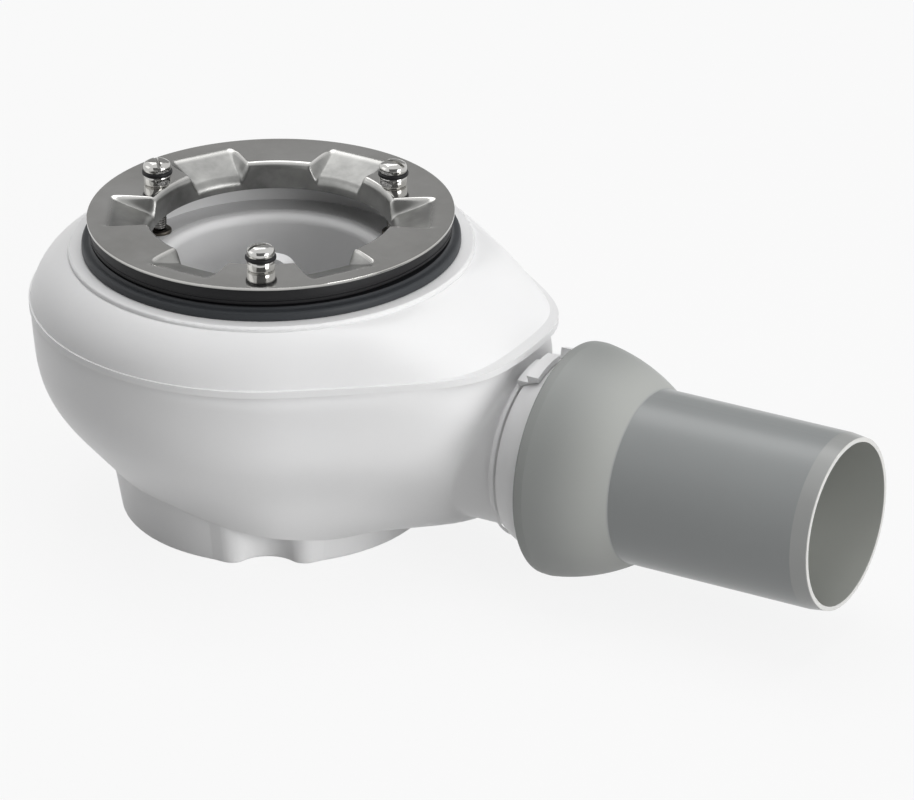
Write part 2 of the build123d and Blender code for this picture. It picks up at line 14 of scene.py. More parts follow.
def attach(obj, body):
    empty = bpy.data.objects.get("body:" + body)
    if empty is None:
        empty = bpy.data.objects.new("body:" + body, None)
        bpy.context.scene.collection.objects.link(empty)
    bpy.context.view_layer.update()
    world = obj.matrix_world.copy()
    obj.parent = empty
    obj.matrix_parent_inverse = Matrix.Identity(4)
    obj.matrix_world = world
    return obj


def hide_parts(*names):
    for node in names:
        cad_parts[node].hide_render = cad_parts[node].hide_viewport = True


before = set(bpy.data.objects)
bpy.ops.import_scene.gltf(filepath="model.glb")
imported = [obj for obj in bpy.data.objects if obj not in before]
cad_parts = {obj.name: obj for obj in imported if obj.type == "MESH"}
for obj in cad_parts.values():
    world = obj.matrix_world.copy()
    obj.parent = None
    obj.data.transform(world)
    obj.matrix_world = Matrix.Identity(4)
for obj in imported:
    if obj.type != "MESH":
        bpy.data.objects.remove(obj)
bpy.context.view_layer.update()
LOG = logging.getLogger("shower_trap")
MM = 0.001
FULL_TURN = 360.0
ORIGIN = (0.0, 0.0, 0.0)
BEVEL_SEGMENTS = 2
IMAGE_WIDTH = 914
SENSOR_WIDTH = 36.0

Profile = list[tuple[float, float]]
Triple = tuple[float, float, float]
Colour = tuple[float, float, float]
Stops = tuple[float, float]
Value = float | tuple[float, ...]
Socket = bpy.types.NodeSocket
Piece = bpy.types.Object


class Body(Enum):
    """Bodies that a new piece rides on."""

    TRAP = "trap"


class Slot(Enum):
    """Material slots of the record."""

    SHEET_STEEL = "sheet_steel"
    BRIGHT_STEEL = "bright_steel"
    BLACK_RUBBER = "black_rubber"


class Ends(Enum):
    """What becomes of the first and the last ring of a turned piece."""

    OPEN = "open"
    BRIDGED = "bridged"
    CAPPED = "capped"


@dataclass(frozen=True)
class Noise:
    """A noise pattern: cells per metre, octaves, weight of the finer ones and stretch."""

    scale: float
    detail: float = 3.0
    rough: float = 0.5
    stretch: Triple | None = None


@dataclass(frozen=True)
class Relief:
    """A bump: its pattern, how strongly it shows and its height in metres."""

    pattern: Noise
    strength: float
    height: float


def calculated(tree: bpy.types.NodeTree, operation: str, first: Socket, second: Socket) -> Socket:
    """Adds a maths node for two values.

    Args:
        tree: the node tree to add it to.
        operation: what it does.
        first: a value.
        second: a value.

    Returns:
        The result.
    """
    node = tree.nodes.new("ShaderNodeMath")
    node.operation = operation
    tree.links.new(first, node.inputs[0])
    tree.links.new(second, node.inputs[1])
    return node.outputs["Value"]


class Graph:
    """A material's node tree, with short calls for adding and joining nodes."""

    def __init__(self, name: str) -> None:
        """Starts a tree with an output, a principled shader and object coordinates.

        Args:
            name: the material's name.
        """
        self.material = bpy.data.materials.new(name)
        self.material.use_nodes = True
        self.tree = self.material.node_tree
        self.tree.nodes.clear()
        self.output = self.node("ShaderNodeOutputMaterial")
        self.shader = self.node("ShaderNodeBsdfPrincipled")
        self.surface(self.shader.outputs["BSDF"])
        self.coords = self.node("ShaderNodeTexCoord").outputs["Object"]

    def node(self, kind: str, **values: Value) -> bpy.types.Node:
        """Adds a node and sets constant inputs of it.

        Args:
            kind: the node's type.
            values: inputs, with underscores for the spaces in their names.

        Returns:
            The node.
        """
        node = self.tree.nodes.new(kind)
        self.set(node, **values)
        return node

    def set(self, node: bpy.types.Node, **values: Value) -> None:
        """Sets constant inputs of a node, with underscores for spaces."""
        for name, value in values.items():
            node.inputs[name.replace("_", " ")].default_value = value

    def link(self, source: Socket, target: Socket) -> None:
        """Links an output to an input."""
        self.tree.links.new(source, target)

    def surface(self, source: Socket) -> None:
        """Makes a shader the one that the material shows."""
        self.link(source, self.output.inputs["Surface"])

    def feed(self, source: Socket, into: str) -> None:
        """Links a socket to an input of the principled shader."""
        self.link(source, self.shader.inputs[into])

    def mapping(self, **values: Value) -> Socket:
        """Object coordinates with a location or a scale.

        Args:
            values: inputs of the mapping.

        Returns:
            The vector socket.
        """
        node = self.node("ShaderNodeMapping", **values)
        self.link(self.coords, node.inputs["Vector"])
        return node.outputs["Vector"]

    def noise(self, pattern: Noise) -> Socket:
        """Noise in object coordinates.

        Args:
            pattern: its settings.

        Returns:
            The value socket.
        """
        node = self.node(
            "ShaderNodeTexNoise", Scale=pattern.scale, Detail=pattern.detail, Roughness=pattern.rough
        )
        vector = self.mapping(Scale=pattern.stretch) if pattern.stretch else self.coords
        self.link(vector, node.inputs["Vector"])
        return node.outputs["Fac"]

    def ramp(self, value: Socket, stops: list[tuple[float, Colour]]) -> Socket:
        """Colour ramp over a value.

        Args:
            value: the socket that drives it.
            stops: two positions and their linear colours.

        Returns:
            The colour socket.
        """
        node = self.node("ShaderNodeValToRGB")
        self.link(value, node.inputs["Fac"])
        for mark, (place, colour) in zip(node.color_ramp.elements, stops):
            mark.position = place
            mark.color = (*colour, 1.0)
        return node.outputs["Color"]

    def clouds(self, pattern: Noise, deep: Colour, pale: Colour, stops: Stops) -> Socket:
        """Colour that drifts between two.

        Args:
            pattern: the noise that mixes them.
            deep: the darker colour.
            pale: the lighter colour.
            stops: noise values at which each is pure.

        Returns:
            The colour socket.
        """
        return self.ramp(self.noise(pattern), [(stops[0], deep), (stops[1], pale)])

    def span(self, value: Socket, low: float, high: float) -> Socket:
        """Value from 0..1 mapped to low..high.

        Args:
            value: the socket to map.
            low: result at 0.
            high: result at 1.

        Returns:
            The mapped socket.
        """
        node = self.node("ShaderNodeMapRange", To_Min=low, To_Max=high)
        self.link(value, node.inputs["Value"])
        return node.outputs["Result"]

    def zone(self, value: Socket, start: float, end: float) -> Socket:
        """Mask that rises from 0 at start to 1 at end.

        Args:
            value: the socket to test.
            start: value at which the mask is 0.
            end: value at which the mask is 1.

        Returns:
            The mask socket.
        """
        node = self.node("ShaderNodeMapRange", From_Min=start, From_Max=end)
        node.interpolation_type = "SMOOTHSTEP"
        self.link(value, node.inputs["Value"])
        return node.outputs["Result"]

    def bump(self, relief: Relief, below: Socket | None = None) -> Socket:
        """Normal of a relief.

        Args:
            relief: its settings.
            below: normal socket of a coarser relief.

        Returns:
            The normal socket.
        """
        node = self.node("ShaderNodeBump", Strength=relief.strength, Distance=relief.height)
        self.link(self.noise(relief.pattern), node.inputs["Height"])
        if below is not None:
            self.link(below, node.inputs["Normal"])
        return node.outputs["Normal"]

    def axis(self, name: str) -> Socket:
        """One object coordinate.

        Args:
            name: X, Y or Z.

        Returns:
            The value socket.
        """
        node = self.node("ShaderNodeSeparateXYZ")
        self.link(self.coords, node.inputs["Vector"])
        return node.outputs[name]

    def around(self, centre: Triple, keep: Triple) -> Socket:
        """Distance from a centre, along the axes that keep marks with 1.

        Args:
            centre: the point, in metres.
            keep: 1 for an axis that counts, 0 for one that doesn't.

        Returns:
            The value socket.
        """
        shift = tuple(-c * k for c, k in zip(centre, keep))
        length = self.node("ShaderNodeVectorMath")
        length.operation = "LENGTH"
        self.link(self.mapping(Location=shift, Scale=keep), length.inputs["Vector"])
        return length.outputs["Value"]

    def mix(self, mask: Socket, under: Socket, over: Socket | Colour | float) -> Socket:
        """Lays one colour or value over another where the mask is 1.

        Args:
            mask: the socket that chooses.
            under: the socket at 0.
            over: what shows at 1: a colour socket, a colour or a value.

        Returns:
            The mixed socket.
        """
        node = self.node("ShaderNodeMix")
        node.data_type = "FLOAT" if isinstance(over, float) else "RGBA"
        self.link(mask, node.inputs["Factor"])
        self.link(under, node.inputs["A"])
        if isinstance(over, Socket):
            self.link(over, node.inputs["B"])
        else:
            self.set(node, B=over if isinstance(over, float) else (*over, 1.0))
        return node.outputs["Result"]


@dataclass(frozen=True)
class Finish:
    """A procedural finish: a cloudy colour, an uneven gloss and one or two reliefs."""

    name: str
    pale: Colour
    deep: Colour
    gloss_low: float
    gloss_high: float
    cloud: Noise
    sheen: Noise
    fine: Relief
    coarse: Relief | None = None
    cloud_stops: Stops = (0.3, 0.7)
    metallic: float = 0.0
    shine: float = 0.5

    def colour(self, graph: Graph) -> Socket:
        """Adds the colour and returns its socket."""
        return graph.clouds(self.cloud, self.deep, self.pale, self.cloud_stops)

    def gloss(self, graph: Graph) -> Socket:
        """Adds the roughness and returns its socket."""
        return graph.span(graph.noise(self.sheen), self.gloss_low, self.gloss_high)

    def relief(self, graph: Graph) -> Socket:
        """Adds the reliefs and returns their normal socket."""
        below = graph.bump(self.coarse) if self.coarse else None
        return graph.bump(self.fine, below)

    def make(self) -> bpy.types.Material:
        """Builds the material.

        Returns:
            The material.
        """
        graph = Graph(self.name)
        graph.set(graph.shader, Metallic=self.metallic, Specular_IOR_Level=self.shine)
        graph.feed(self.colour(graph), "Base Color")
        graph.feed(self.gloss(graph), "Roughness")
        graph.feed(self.relief(graph), "Normal")
        return graph.material


@dataclass(frozen=True)
class MouldedPlastic(Finish):
    """Injection-moulded polypropylene."""

    cloud: Noise = Noise(14.0, 4.0)
    sheen: Noise = Noise(60.0)
    fine: Relief = Relief(Noise(900.0, 2.0), 0.2, 0.00003)
    coarse: Relief = Relief(Noise(55.0, 2.0), 0.10, 0.0003)


@dataclass(frozen=True)
class PipePlastic(MouldedPlastic):
    """Grey plastic: frosted bell with painted light towards its pipe end, smoother pipe, painted
    light on the turned end and in the bore.
    """

    bell: Colour = (0.258, 0.267, 0.259)
    # painted light: the bell's paler colour at its pipe end, where the light from the right falls on
    # it
    bell_lit: Colour = (0.360, 0.368, 0.353)
    # painted light: the bore is painted paler for the light that comes in through the open end
    inside: Colour = (0.40, 0.41, 0.385)
    # painted light: the turned end's bevel and its rim are painted paler where they face the light
    # from the right
    bevel: Colour = (0.30, 0.305, 0.30)
    rim: Colour = (0.62, 0.62, 0.60)
    bell_start: float = 0.103
    bell_end: float = 0.1226
    bevel_start: float = 0.1791
    rim_start: float = 0.1837
    axis_height: float = 0.035
    bore: float = 0.0232
    edge_fade: float = 0.0002
    wall_fade: float = 0.0004

    def frosted(self, graph: Graph) -> Socket:
        """Adds the mask of the bell and returns its socket."""
        fade = self.wall_fade
        return graph.zone(graph.axis("X"), self.bell_end + fade, self.bell_end - fade)

    def colour(self, graph: Graph) -> Socket:
        """Lays the bell with its painted light, then painted light in the bore, on the turned end and
        on the rim, over the pipe's colour.

        Args:
            graph: the material's tree.

        Returns:
            The colour socket.
        """
        along = graph.axis("X")
        spread = graph.around((0.0, 0.0, self.axis_height), (0.0, 1.0, 1.0))
        outside = graph.zone(spread, self.bore, self.bore + self.wall_fade)
        # painted light in the bore, where this mask is 1
        inside = graph.span(outside, 1.0, 0.0)
        # painted light on the turned end's bevel and rim
        end = graph.zone(along, self.bevel_start - self.edge_fade, self.bevel_start + self.edge_fade)
        bevel = calculated(graph.tree, "MULTIPLY", end, outside)
        rim = graph.zone(along, self.rim_start, self.rim_start + self.edge_fade)
        # painted light: the bell turns paler towards its pipe end
        bell_lit_share = graph.zone(along, self.bell_start, self.bell_end)
        bell = graph.ramp(bell_lit_share, [(0.0, self.bell), (1.0, self.bell_lit)])
        colour = graph.mix(self.frosted(graph), super().colour(graph), bell)
        colour = graph.mix(inside, colour, self.inside)
        colour = graph.mix(bevel, colour, self.bevel)
        return graph.mix(rim, colour, self.rim)

    def gloss(self, graph: Graph) -> Socket:
        """Adds the roughness of the pipe and the bell and returns its socket."""
        return graph.span(self.frosted(graph), self.gloss_low, self.gloss_high)


ROLLED = Noise(60.0, 3.0, 0.6, (1.0, 20.0, 4.0))


@dataclass(frozen=True)
class Steel(Finish):
    """Stainless steel with a grain that runs along one axis."""

    cloud: Noise = Noise(35.0, 5.0, 0.6)
    sheen: Noise = ROLLED
    fine: Relief = Relief(ROLLED, 0.03, 0.00003)
    metallic: float = 1.0


@dataclass(frozen=True)
class StampedSteel(Steel):
    """Stainless sheet, duller and rougher where the press has drawn it down, with painted shade
    there: darker in the pockets and the neck.
    """

    # painted shade: the drawn pockets and neck are painted darker than the flat sheet, with a random
    # drift between two tones
    drawn: Colour = (0.215, 0.215, 0.21)
    drawn_shade_pale: Colour = (0.325, 0.325, 0.315)
    drawn_gloss: float = 0.36
    drawn_cloud: Noise = Noise(75.0, 5.0, 0.6)
    drawn_cloud_stops: Stops = (0.38, 0.62)
    flat_height: float = 0.0897
    drawn_height: float = 0.0888

    def depth(self, graph: Graph) -> Socket:
        """Adds the mask of the drawn sheet and returns its socket."""
        return graph.zone(graph.axis("Z"), self.flat_height, self.drawn_height)

    def colour(self, graph: Graph) -> Socket:
        """Lays the drawn sheet's darker colour, which is painted shade, over the flat sheet's."""
        shaded_drawn = graph.clouds(self.drawn_cloud, self.drawn, self.drawn_shade_pale, self.drawn_cloud_stops)
        return graph.mix(self.depth(graph), super().colour(graph), shaded_drawn)

    def gloss(self, graph: Graph) -> Socket:
        """Lays the roughness of the drawn sheet over the flat sheet's."""
        return graph.mix(self.depth(graph), super().gloss(graph), self.drawn_gloss)


@dataclass(frozen=True)
class Rubber(Finish):
    """Moulded black rubber with fine ribs, mottled a little."""

    gloss_low: float = 0.38
    gloss_high: float = 0.58
    cloud: Noise = Noise(70.0, 5.0, 0.6)
    sheen: Noise = Noise(120.0)
    fine: Relief = Relief(Noise(1400.0, 2.0), 0.2, 0.00004)
    coarse: Relief = Relief(Noise(40.0, 2.0, 0.5, (1.0, 1.0, 40.0)), 0.25, 0.0002)
    cloud_stops: Stops = (0.3, 0.75)
    shine: float = 0.25


@dataclass(frozen=True)
class LitLipRubber(Rubber):
    """Black rubber with painted light on its lip below a height."""

    # painted light: the lip is painted paler for the light from above that falls on it
    lip: Colour = (0.036, 0.039, 0.043)
    lip_height: float = 0.0836
    lip_fade: float = 0.0003

    def colour(self, graph: Graph) -> Socket:
        """Lays the lip's painted light over the rubber's colour.

        Args:
            graph: the material's tree.

        Returns:
            The colour socket.
        """
        fade = self.lip_fade
        low = graph.zone(graph.axis("Z"), self.lip_height + fade, self.lip_height - fade)
        return graph.mix(low, super().colour(graph), self.lip)


WHITE = MouldedPlastic("white_polypropylene", (0.80, 0.80, 0.80), (0.77, 0.77, 0.775), 0.32, 0.42)
# grey plastic with painted light on the bell's pipe end, on the turned end and in the bore
GREY = PipePlastic("grey_polypropylene", (0.266, 0.277, 0.277), (0.247, 0.258, 0.259), 0.28, 0.48)
# the stamped sheet carries painted shade in its pockets and neck
STEEL = StampedSteel("stamped_stainless", (0.64, 0.635, 0.62), (0.50, 0.494, 0.475), 0.07, 0.15)
BRIGHT = Steel("turned_stainless", (0.56, 0.555, 0.54), (0.48, 0.475, 0.46), 0.06, 0.13)
THREAD = Steel("rolled_thread_steel", (0.40, 0.39, 0.37), (0.30, 0.29, 0.27), 0.22, 0.34)
INSERT = Steel("dull_insert", (0.16, 0.145, 0.12), (0.11, 0.10, 0.085), 0.34, 0.48)
BLACK = Rubber("black_rubber", (0.012, 0.012, 0.013), (0.007, 0.007, 0.008))
# the gasket's lip carries painted light
GASKET = LitLipRubber("gasket_rubber", (0.013, 0.013, 0.014), (0.008, 0.008, 0.009))


def put_on(finish: Finish, *names: str) -> None:
    """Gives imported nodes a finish.

    Args:
        finish: the finish.
        names: the nodes.
    """
    material = finish.make()
    for name in names:
        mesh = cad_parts[name].data
        mesh.materials.clear()
        mesh.materials.append(material)
        LOG.info("%s wears %s", name, material.name)


def select_only(*pieces: Piece) -> None:
    """Selects some objects and nothing else, with the first one active.

    Args:
        pieces: the objects.
    """
    bpy.ops.object.select_all(action="DESELECT")
    for piece in pieces:
        piece.select_set(True)
    bpy.context.view_layer.objects.active = pieces[0]


def added(operator: Callable, name: str, **values: object) -> Piece:
    """Adds a primitive with nothing else selected.

    Args:
        operator: the operator that adds it.
        name: the object's name.
        values: the operator's settings.

    Returns:
        The object.
    """
    bpy.ops.object.select_all(action="DESELECT")
    operator(**values)
    piece = bpy.context.active_object
    piece.name = name
    return piece


@contextmanager
def editing(piece: Piece) -> Iterator[None]:
    """Opens a piece in edit mode with all of it selected, and closes it afterwards.

    Args:
        piece: the object.

    Yields:
        Nothing, while the piece is open.
    """
    select_only(piece)
    bpy.ops.object.mode_set(mode="EDIT")
    bpy.ops.mesh.select_mode(type="EDGE")
    bpy.ops.mesh.select_all(action="SELECT")
    yield
    bpy.ops.object.mode_set(mode="OBJECT")


def select_open_edges() -> None:
    """Selects the open edges of the piece in edit mode and nothing else."""
    bpy.ops.mesh.select_all(action="DESELECT")
    bpy.ops.mesh.select_non_manifold()


def face_outward() -> None:
    """Turns all faces of the piece in edit mode outward."""
    bpy.ops.mesh.select_all(action="SELECT")
    bpy.ops.mesh.normals_make_consistent(inside=False)


def turned(name: str, profile: Profile, sides: int, ends: Ends) -> Piece:
    """A piece of revolution: a circle extruded ring by ring through a profile.

    Args:
        name: the piece's name.
        profile: radius and height of each ring, in metres.
        sides: points around.
        ends: what becomes of the first and the last ring.

    Returns:
        The object, at the origin.
    """
    radius, height = profile[0]
    circle = bpy.ops.mesh.primitive_circle_add
    piece = added(circle, name, vertices=sides, radius=radius, location=ORIGIN)
    piece.data.name = name
    with editing(piece):
        bpy.ops.transform.translate(value=(0.0, 0.0, height))
        for (r, z), (next_r, next_z) in zip(profile, profile[1:]):
            rise = {"value": (0.0, 0.0, next_z - z)}
            bpy.ops.mesh.extrude_region_move(TRANSFORM_OT_translate=rise)
            growth = (next_r / r, next_r / r, 1.0)
            bpy.ops.transform.resize(value=growth, center_override=ORIGIN)
        if ends is not Ends.OPEN:
            select_open_edges()
        if ends is Ends.BRIDGED:
            bpy.ops.mesh.bridge_edge_loops()
        elif ends is Ends.CAPPED:
            bpy.ops.mesh.fill_holes(sides=0)
        face_outward()
    return piece


def apply_modifier(piece: Piece, kind: str, **values: object) -> None:
    """Adds a modifier with the given values and applies it.

    Args:
        piece: the object.
        kind: the modifier's type.
        values: its settings.
    """
    select_only(piece)
    modifier = piece.modifiers.new(kind.lower(), kind)
    for name, value in values.items():
        setattr(modifier, name, value)
    bpy.ops.object.modifier_apply(modifier=modifier.name)


def soften_edges(piece: Piece, width: float, angle: float) -> None:
    """Rounds the sharp edges of a piece.

    Args:
        piece: the object.
        width: width of the bevel, in metres.
        angle: angle above which an edge is sharp, in degrees.
    """
    apply_modifier(
        piece,
        "BEVEL",
        width=width,
        segments=BEVEL_SEGMENTS,
        limit_method="ANGLE",
        angle_limit=radians(angle),
    )


def raise_where(piece: Piece, group: str, rise: float, share_at: Callable[[Vector], float]) -> None:
    """Moves parts of a piece along z.

    Args:
        piece: the object.
        group: name of the vertex group that is painted for it.
        rise: the greatest move, in metres.
        share_at: gives the share of it, 0 to 1, at a point.
    """
    weights = piece.vertex_groups.new(name=group)
    for vertex in piece.data.vertices:
        share = share_at(vertex.co)
        if share > 0.0:
            weights.add([vertex.index], share, "REPLACE")
    apply_modifier(piece, "DISPLACE", direction="Z", mid_level=0.0, strength=rise, vertex_group=group)


def joined(pieces: list[Piece]) -> Piece:
    """Joins objects.

    Args:
        pieces: the objects.

    Returns:
        The first of them, which now holds them all.
    """
    select_only(*pieces)
    bpy.ops.object.join()
    return pieces[0]


def settle(piece: Piece, body: Body, finish: Finish, smooth: float) -> None:
    """Shades a finished piece, dresses it and lets it ride on its body.

    Args:
        piece: the object.
        body: the body that carries it.
        finish: its finish.
        smooth: angle under which edges are shaded smooth, in degrees.
    """
    select_only(piece)
    bpy.ops.object.shade_smooth_by_angle(angle=radians(smooth))
    piece.vertex_groups.clear()
    piece.data.materials.clear()
    piece.data.materials.append(finish.make())
    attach(piece, body.value)
    LOG.info("%s: %d faces on %s", piece.name, len(piece.data.polygons), body.value)


@dataclass
class ClampRing:
    """Stamped steel ring: flat rim, drawn neck and six ramp pockets.

    Sizes are in millimetres and angles in degrees.
    """

    outer_r: float = 52.3
    bore_r: float = 34.6
    top: float = 89.8
    sheet: float = 0.8
    bend_r: float = 2.2
    neck_depth: float = 8.0
    pocket_count: int = 6
    first_pocket: float = 27.7
    pocket_start: float = 47.4
    pocket_depth: float = 4.4
    pocket_half: float = 9.0
    pocket_flare: float = 8.4
    wall_width: float = 3.0
    wall_outside: float = 0.8
    start_softness: float = 0.35
    deepest: float = 6.0
    rim_margin: float = 0.01
    sides: int = 900
    flat_rings: int = 20
    bend_rings: int = 7
    neck_rings: int = 5
    edge_bevel: float = 0.15
    edge_angle: float = 60.0
    smooth: float = 50.0

    def profile(self) -> Profile:
        """Top face of the sheet from the rim to the lower edge of the neck.

        Returns:
            Radius and height of each ring, in metres.
        """
        inner = self.bore_r + self.bend_r
        rings = [
            (self.outer_r + (inner - self.outer_r) * k / self.flat_rings, self.top)
            for k in range(self.flat_rings + 1)
        ]
        for k in range(1, self.bend_rings + 1):
            turn = pi / 2 * k / self.bend_rings
            drop = self.bend_r * (1.0 - cos(turn))
            rings.append((inner - self.bend_r * sin(turn), self.top - drop))
        low = self.top - self.neck_depth
        start = self.top - self.bend_r
        for k in range(1, self.neck_rings + 1):
            rings.append((self.bore_r, start + (low - start) * k / self.neck_rings))
        return [(r * MM, z * MM) for r, z in rings]

    def sink(self, x: float, y: float) -> float:
        """How deep the pockets sink the sheet at a point of the plan.

        Args:
            x: place across, in millimetres.
            y: place across, in millimetres.

        Returns:
            The depth in millimetres.
        """
        step = FULL_TURN / self.pocket_count
        turn = degrees(atan2(y, x)) - self.first_pocket
        turn = radians(turn - step * round(turn / step))
        far = hypot(x, y)
        along = far * cos(turn)
        across = abs(far * sin(turn))
        fall = self.pocket_depth / (self.pocket_start - self.bore_r)
        ramp = (self.pocket_start - along) * fall
        floor = (ramp + sqrt(ramp**2 + self.start_softness**2)) / 2.0
        half = self.pocket_half + (along - self.bore_r) * tan(radians(self.pocket_flare))
        share = min(max((half - across + self.wall_outside) / self.wall_width, 0.0), 1.0)
        return floor * share * share * (3.0 - 2.0 * share)

    def share(self, place: Vector) -> float:
        """Share of the deepest sinking at a point of the blank.

        Args:
            place: the point, in metres.

        Returns:
            The share, 0 to 1.
        """
        x = place.x / MM
        y = place.y / MM
        down = self.top - place.z / MM
        run = max(down - self.bend_r, 0.0) / (self.neck_depth - self.bend_r)
        if hypot(x, y) > self.outer_r - self.rim_margin:
            return 0.0
        return self.sink(x, y) * (1.0 - run) / self.deepest

    def build(self) -> Piece:
        """Draws the blank, presses the pockets and gives the sheet its thickness.

        Returns:
            The ring.
        """
        ring = turned("clamp_ring", self.profile(), self.sides, Ends.OPEN)
        if sum(face.normal.z * face.area for face in ring.data.polygons) < 0.0:
            with editing(ring):
                bpy.ops.mesh.flip_normals()
        raise_where(ring, "pockets", -self.deepest * MM, self.share)
        thickness = self.sheet * MM
        apply_modifier(ring, "SOLIDIFY", thickness=thickness, offset=-1.0, use_even_offset=True)
        soften_edges(ring, self.edge_bevel * MM, self.edge_angle)
        return ring

    def dress(self, ring: Piece) -> None:
        """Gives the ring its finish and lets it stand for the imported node."""
        settle(ring, Body.TRAP, STEEL, self.smooth)
        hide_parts("flange_ring")


@dataclass
class RimGasket:
    """Rubber gasket between the deck and the clamp ring, slotted for the tray's edge.

    Sizes are in millimetres and angles in degrees.
    """

    deck: float = 80.4
    bore_r: float = 43.6
    lip_r: float = 54.1
    band_r: float = 51.6
    slot_r: float = 46.6
    slot_low: float = 3.3
    slot_high: float = 3.9
    height: float = 8.55
    relief_r: float = 47.9
    relief: float = 2.6
    gape: float = 0.75
    gape_angle: float = -6.0
    gape_spread: float = 24.0
    still_below: float = 0.05
    still_top: float = 0.9
    still_root: float = 1.0
    sides: int = 240
    smooth: float = 35.0

    def profile(self) -> Profile:
        """Section of the gasket, once round: lip, slot, grooved band, relief.

        Returns:
            Radius and height of each ring, in metres.
        """
        lip = self.lip_r
        band = self.band_r
        low = self.slot_low
        high = self.slot_high
        top = self.height
        section = [
            (self.bore_r, 0.0),
            (lip - 0.2, 0.0),
            (lip, 0.2),
            (lip, 1.0),
            (lip - 0.04, 1.75),
            (lip - 0.2, 2.15),
            (lip - 0.55, 2.4),
            (lip - 1.1, 2.5),
            (band + 0.8, 2.55),
            (band + 0.35, 2.7),
            (band + 0.05, low - 0.3),
            (band - 0.1, low),
            (self.slot_r, low),
            (self.slot_r, high),
            (band - 0.25, high),
            (band - 0.05, high + 0.1),
            (band + 0.05, high + 0.35),
            (band + 0.05, high + 1.0),
            (band - 0.2, high + 1.15),
            (band - 0.2, high + 1.5),
            (band, high + 1.65),
            (band, top - 0.8),
            (band - 0.15, top - 0.3),
            (band - 0.6, top),
            (self.relief_r, top),
            (self.relief_r - 0.2, top - self.relief),
            (self.bore_r, top - self.relief),
        ]
        return [(r * MM, (self.deck + z) * MM) for r, z in section]

    def share(self, place: Vector) -> float:
        """How far the slot's upper edge has lifted at a point.

        Args:
            place: the point, in metres.

        Returns:
            The share, 0 to 1.
        """
        height = place.z / MM - self.deck
        if height < self.slot_high - self.still_below or height > self.height - self.still_top:
            return 0.0
        if hypot(place.x, place.y) / MM < self.slot_r + self.still_root:
            return 0.0
        turn = degrees(atan2(place.y, place.x)) - self.gape_angle
        fade = 1.0 - max(height - self.slot_high, 0.0) / (self.height - self.slot_high)
        return exp(-((turn / self.gape_spread) ** 2)) * fade

    def build(self) -> Piece:
        """Turns the section and lifts the slot's edge where it gapes.

        Returns:
            The gasket.
        """
        gasket = turned("slotted_gasket", self.profile(), self.sides, Ends.BRIDGED)
        raise_where(gasket, "gape", self.gape * MM, self.share)
        return gasket

    def dress(self, gasket: Piece) -> None:
        """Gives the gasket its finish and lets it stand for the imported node."""
        settle(gasket, Body.TRAP, GASKET, self.smooth)
        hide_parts("rim_gasket")


@dataclass(frozen=True)
class ScrewCircle:
    """Where the screws stand. Sizes are in millimetres and angles in degrees."""

    radius: float = 39.2
    first_angle: float = 57.7
    count: int = 3

    def stand(self, piece: Piece, number: int) -> None:
        """Moves the mesh of a piece from the middle to a screw's place.

        Args:
            piece: the object.
            number: which of the screws.
        """
        turn = radians(self.first_angle + FULL_TURN / self.count * number)
        place = (self.radius * MM * cos(turn), self.radius * MM * sin(turn), 0.0)
        with editing(piece):
            bpy.ops.transform.translate(value=place)


